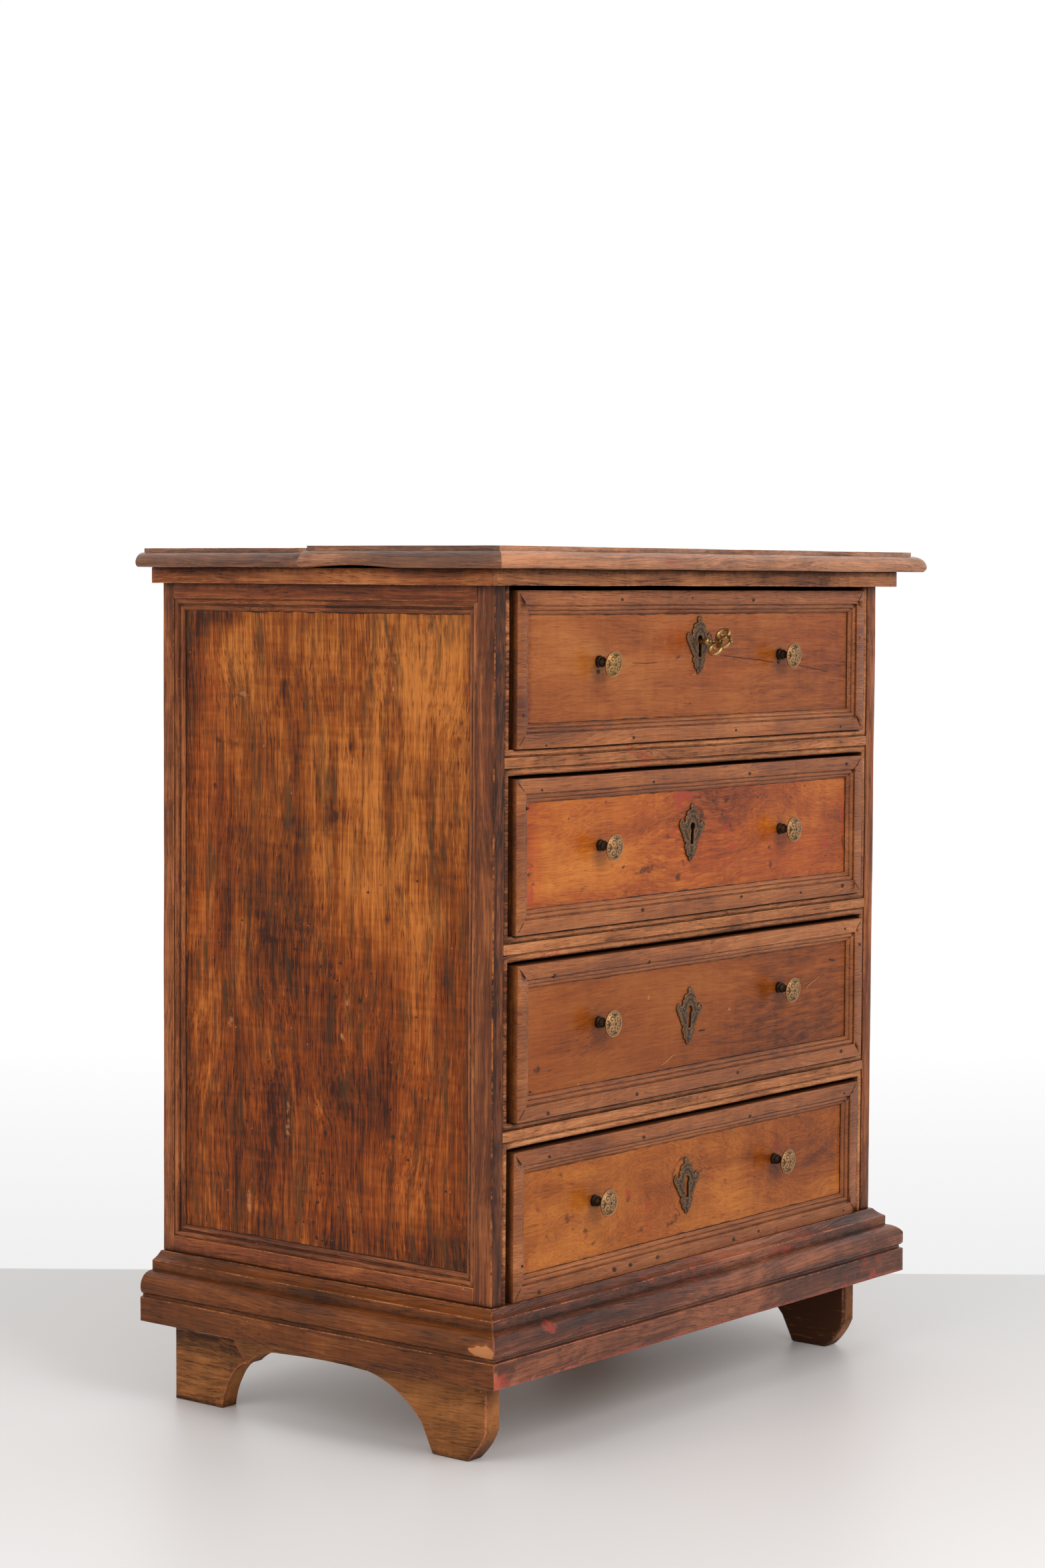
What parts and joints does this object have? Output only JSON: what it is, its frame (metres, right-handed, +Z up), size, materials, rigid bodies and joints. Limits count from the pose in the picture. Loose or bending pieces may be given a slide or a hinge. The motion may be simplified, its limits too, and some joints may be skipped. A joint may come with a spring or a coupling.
{
  "type": "chest of drawers",
  "caption": "Small walnut chest of drawers with moulded top and base, framed drawer fronts, brass knobs and key plates, and a key in the top lock.",
  "frame": {"origin": "on the floor, under the middle of the overhanging top", "axes": "+X to the right as seen from the front, +Y from the front to the back, +Z up"},
  "size_m": [0.8058, 0.5147, 0.95],
  "materials": {
    "top_walnut": "worn wax over dark patina",
    "case_walnut": "satin wax, worn arrises",
    "drawer_walnut": "satin wax",
    "base_walnut": "dark worn wax",
    "foot_walnut": "worn, nearly bare",
    "inside_wood": "bare, aged",
    "brass": "aged, tarnished",
    "iron": "forged, oiled"
  },
  "bodies": {
    "root": {"top_board_front": "top_walnut", "top_board_rear": "top_walnut", "frieze_front": "case_walnut", "frieze_left": "case_walnut", "frieze_right": "case_walnut", "post_front_left": "case_walnut", "post_front_right": "case_walnut", "post_rear_left": "case_walnut", "post_rear_right": "case_walnut", "side_rails_left": "case_walnut", "side_rails_right": "case_walnut", "side_panel_left": "case_walnut", "side_panel_right": "case_walnut", "side_moulding_left": "case_walnut", "side_moulding_right": "case_walnut", "top_rail": "case_walnut", "divider_rails": "case_walnut", "bottom_rail": "case_walnut", "opening_beads": "case_walnut", "drawer_runners": "inside_wood", "bottom_board": "inside_wood", "back_boards": "inside_wood", "base_moulding_front": "base_walnut", "base_moulding_left": "base_walnut", "base_moulding_right": "base_walnut", "foot_front_left": "foot_walnut", "foot_front_right": "foot_walnut", "foot_rear_left": "foot_walnut", "foot_rear_right": "foot_walnut", "arch_board_left": "foot_walnut", "arch_board_right": "foot_walnut"},
    "drawer_1": {"drawer_1_front": "drawer_walnut", "drawer_1_frame": "drawer_walnut", "drawer_1_box": "inside_wood", "drawer_1_bottom": "inside_wood", "drawer_1_knobs": "brass", "drawer_1_key_plate": "brass", "lock_1_case": "iron"},
    "drawer_2": {"drawer_2_front": "drawer_walnut", "drawer_2_frame": "drawer_walnut", "drawer_2_box": "inside_wood", "drawer_2_bottom": "inside_wood", "drawer_2_knobs": "brass", "drawer_2_key_plate": "brass", "lock_2_case": "iron"},
    "drawer_3": {"drawer_3_front": "drawer_walnut", "drawer_3_frame": "drawer_walnut", "drawer_3_box": "inside_wood", "drawer_3_bottom": "inside_wood", "drawer_3_knobs": "brass", "drawer_3_key_plate": "brass"},
    "drawer_4": {"drawer_4_front": "drawer_walnut", "drawer_4_frame": "drawer_walnut", "drawer_4_box": "inside_wood", "drawer_4_bottom": "inside_wood", "drawer_4_knobs": "brass", "drawer_4_key_plate": "brass"},
    "bolt_1": {"lock_1_bolt": "iron"},
    "bolt_2": {"lock_2_bolt": "iron"},
    "key": {"lock_1_key": "brass"}
  },
  "joints": [
    {"name": "drawer_1_slide", "type": "slide", "parent": "root", "child": "drawer_1", "axis": [0, -1, 0], "range_m": [-0.004, 0.33]},
    {"name": "drawer_2_slide", "type": "slide", "parent": "root", "child": "drawer_2", "axis": [0, -1, 0], "range_m": [-0.004, 0.33]},
    {"name": "drawer_3_slide", "type": "slide", "parent": "root", "child": "drawer_3", "axis": [0, -1, 0], "range_m": [-0.007, 0.33]},
    {"name": "drawer_4_slide", "type": "slide", "parent": "root", "child": "drawer_4", "axis": [0, -1, 0], "range_m": [-0.003, 0.33]},
    {"name": "key_turn", "type": "hinge", "parent": "drawer_1", "child": "key", "pos_m": [0.0031, -0.2106, 0.8486], "axis": [0, 1, 0], "range_deg": [0, 200]},
    {"name": "bolt_1_throw", "type": "slide", "parent": "drawer_1", "child": "bolt_1", "axis": [0, 0, 1], "range_m": [0, 0.011]},
    {"name": "bolt_2_throw", "type": "slide", "parent": "drawer_2", "child": "bolt_2", "axis": [0, 0, 1], "range_m": [0, 0.011]}
  ],
  "couplings": [
    {"joint": "key_turn", "follows": "bolt_1_throw", "rad_per_m": 317}
  ]
}
